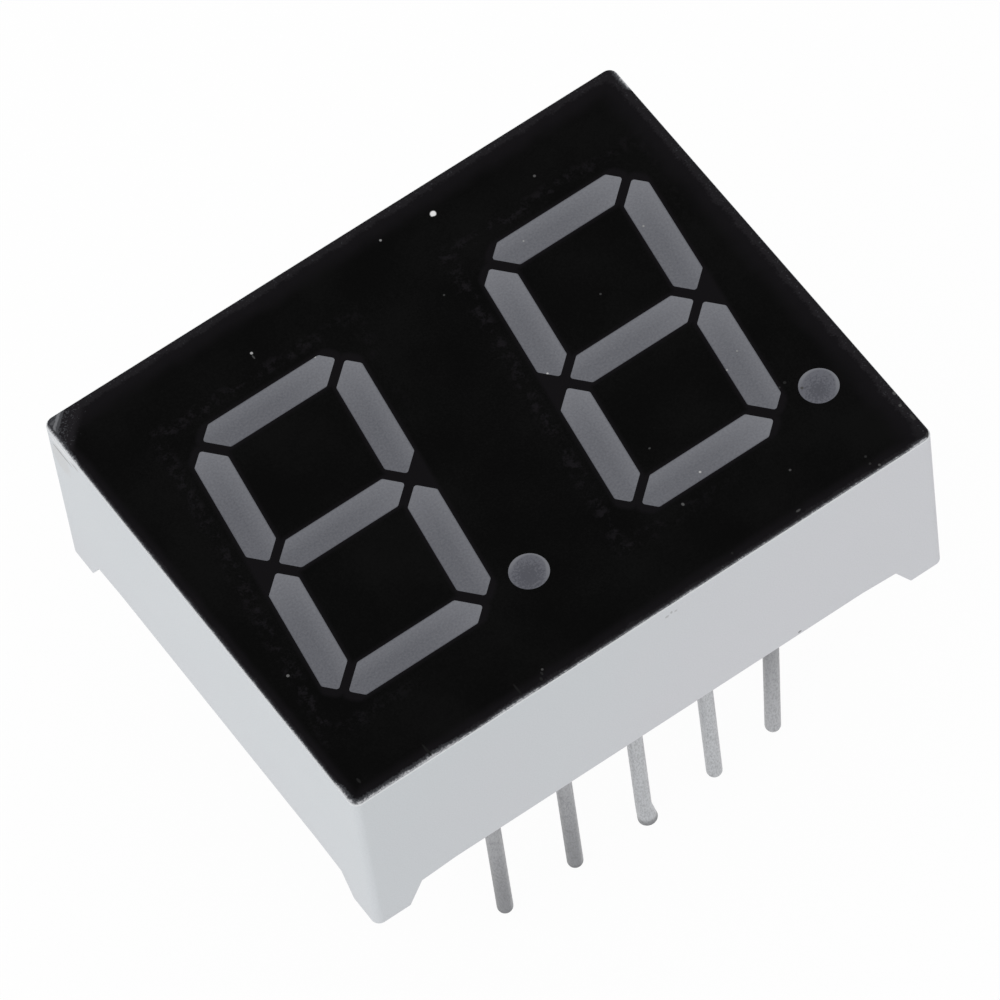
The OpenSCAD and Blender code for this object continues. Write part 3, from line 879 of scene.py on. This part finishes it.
# %% [markdown]
# ## The hidden pieces
#
# Inside the epoxy lie a green board, plated copper, solder, crystal dies and gold wire. They show when the
# display is taken apart, so each gets a simple finish of its own kind. The three metals differ only in
# tone, roughness and blot size, so one function makes them all.

# %% Metal finishes
METAL_DEPTH = 0.01 * MM
COPPER = grey(210, (10, -10, -80)), grey(190, (10, -14, -90))
SOLDER = grey(190), grey(160)
GOLD = grey(225, (10, -20, -110)), grey(215, (10, -24, -115))


def metal_finish(name, tone, dark, roughness, size):
    material, tree, surface, place = new_finish(name, Metallic=1)
    blot = noise(tree, place, size, 4, 0.6)
    tree.links.new(blend(tree, ramp(tree, blot, 0.3, 0.7), dark, tone), surface["Base Color"])
    tree.links.new(ramp(tree, blot, 0.3, 0.7, roughness + 0.12, roughness), surface["Roughness"])
    tree.links.new(bump(tree, blot, METAL_DEPTH, 0.5), surface["Normal"])
    return material


keep_finish("copper", metal_finish("plated_copper", *COPPER, 0.3, 0.1 * MM))
keep_finish("solder", metal_finish("solder", *SOLDER, 0.3, 0.15 * MM))
keep_finish("bond_wire", metal_finish("gold_wire", *GOLD, 0.2, 0.1 * MM))

# %% Board and die finishes
WEAVE_PITCH = 2 * MM
WEAVE_DEPTH = 0.003 * MM
FACET_SIZE = 0.1 * MM


def board_finish():
    material, tree, surface, place = new_finish("green_laminate", Specular_IOR_Level=0.4)
    bands = add(tree, "ShaderNodeTexWave", {"wave_type": "BANDS"}, Vector=place, Scale=1 / WEAVE_PITCH)
    weave = bands.outputs["Fac"]
    tone = blend(tree, ramp(tree, weave, 0.2, 0.8), grey(60, (-30, 40, -10)), grey(66, (-30, 44, -8)))
    tree.links.new(tone, surface["Base Color"])
    tree.links.new(bump(tree, weave, WEAVE_DEPTH, 0.4), surface["Normal"])
    return material


def die_finish():
    material, tree, surface, place = new_finish("die_crystal", Roughness=0.2)
    facet = noise(tree, place, FACET_SIZE, 1)
    tone = blend(tree, ramp(tree, facet, 0.4, 0.6), grey(70, (4, 0, 4)), grey(92, (4, 0, 4)))
    tree.links.new(tone, surface["Base Color"])
    return material


keep_finish("board", board_finish())
keep_finish("die", die_finish())

# %% [markdown]
# ## Dressing the solids
#
# The record that comes with the frame names a slot for every solid. The finishes are filed under the same
# slot names, so one loop dresses all of them and none is left plain.

# %% Give every node its finish
for part in frame["record"]["subparts"]:
    for slot in nodes[part["node"]].material_slots:
        slot.material = finishes[part["material_slot"]]

# %% [markdown]
# ## Floor and light
#
# The display stands on a pale floor under soft light. Seen by the camera the floor is nearly white by
# itself, so that it meets the white background without a line, and it still takes a faint shadow. More
# light would whiten it too, but it would also bleach the display. The world is plain white to the camera
# and to reflections, and gives the object an even soft light. One wide lamp on the left makes the end
# wall a little brighter than the front wall.

# %% Floor plate
FLOOR_SIZE = 3.0


def floor_plate():
    mesh = bpy.data.meshes.new("floor")
    shape = bmesh.new()
    bmesh.ops.create_grid(shape, x_segments=1, y_segments=1, size=FLOOR_SIZE / 2)
    bmesh.ops.translate(shape, verts=shape.verts, vec=(0, 0, TIP_Z))
    shape.to_mesh(mesh)
    shape.free()
    plate = bpy.data.objects.new("floor", mesh)
    bpy.context.scene.collection.objects.link(plate)
    return plate


floor = floor_plate()
print("floor at", round(TIP_Z / MM, 2))

# %% Floor finish
FLOOR_TONE = (0.95, 0.95, 0.95, 1)
SHADOW_SHARE = 0.04


def seen_by(tree, *rays):
    """1 where one of the named kinds of ray looks, from the Light Path node, and 0 elsewhere."""
    path = tree.nodes.new("ShaderNodeLightPath").outputs
    seen, *others = [path[ray] for ray in rays]
    for other in others:
        seen = calc(tree, "MAXIMUM", seen, other)
    return seen


def floor_finish():
    """A matt floor that shows as plain white, with a small share left that takes the shadow."""
    material = bpy.data.materials.new("white_floor")
    material.use_nodes = True
    tree = material.node_tree
    shader = tree.nodes["Principled BSDF"]
    shader.inputs["Base Color"].default_value = FLOOR_TONE
    shader.inputs["Roughness"].default_value = 0.9
    shader.inputs["Specular IOR Level"].default_value = 0
    glow = tree.nodes.new("ShaderNodeEmission")
    mix = tree.nodes.new("ShaderNodeMixShader")
    direct = seen_by(tree, "Is Camera Ray", "Is Glossy Ray")
    tree.links.new(calc(tree, "MULTIPLY", direct, 1 - SHADOW_SHARE), mix.inputs[0])
    tree.links.new(shader.outputs[0], mix.inputs[1])
    tree.links.new(glow.outputs[0], mix.inputs[2])
    tree.links.new(mix.outputs[0], tree.nodes["Material Output"].inputs["Surface"])
    return material


floor.data.materials.append(floor_finish())
print("share of the floor that takes the shadow:", SHADOW_SHARE)

# %% World
AMBIENT = 0.82


def studio_world():
    world = bpy.data.worlds.new("studio")
    world.use_nodes = True
    tree = world.node_tree
    background = tree.nodes["Background"]
    direct = seen_by(tree, "Is Camera Ray", "Is Glossy Ray", "Is Transmission Ray")
    level = calc(tree, "MULTIPLY_ADD", direct, 1 - AMBIENT, AMBIENT)
    tree.links.new(level, background.inputs["Strength"])
    background.inputs["Color"].default_value = (1, 1, 1, 1)
    return world


bpy.context.scene.world = studio_world()
print("even light on the object:", AMBIENT)

# %% Lamp
LAMP_WAY = (-1, -0.25, 0.55)
LAMP_DISTANCE = 0.35
LAMP_SIZE = 0.25
LAMP_POWER = 0.21


def soft_lamp(name, towards, distance, size, power):
    lamp = bpy.data.objects.new(name, bpy.data.lights.new(name, "AREA"))
    lamp.data.shape = "DISK"
    lamp.data.size = size
    lamp.data.energy = power
    way = Vector(towards).normalized()
    lamp.location = way * distance
    lamp.rotation_mode = "QUATERNION"
    lamp.rotation_quaternion = way.to_track_quat("Z", "Y")
    bpy.context.scene.collection.objects.link(lamp)
    return lamp


left_lamp = soft_lamp("left_lamp", LAMP_WAY, LAMP_DISTANCE, LAMP_SIZE, LAMP_POWER)
bpy.context.scene.view_settings.view_transform = "Standard"
print("lamp at", [round(v / MM) for v in left_lamp.location])
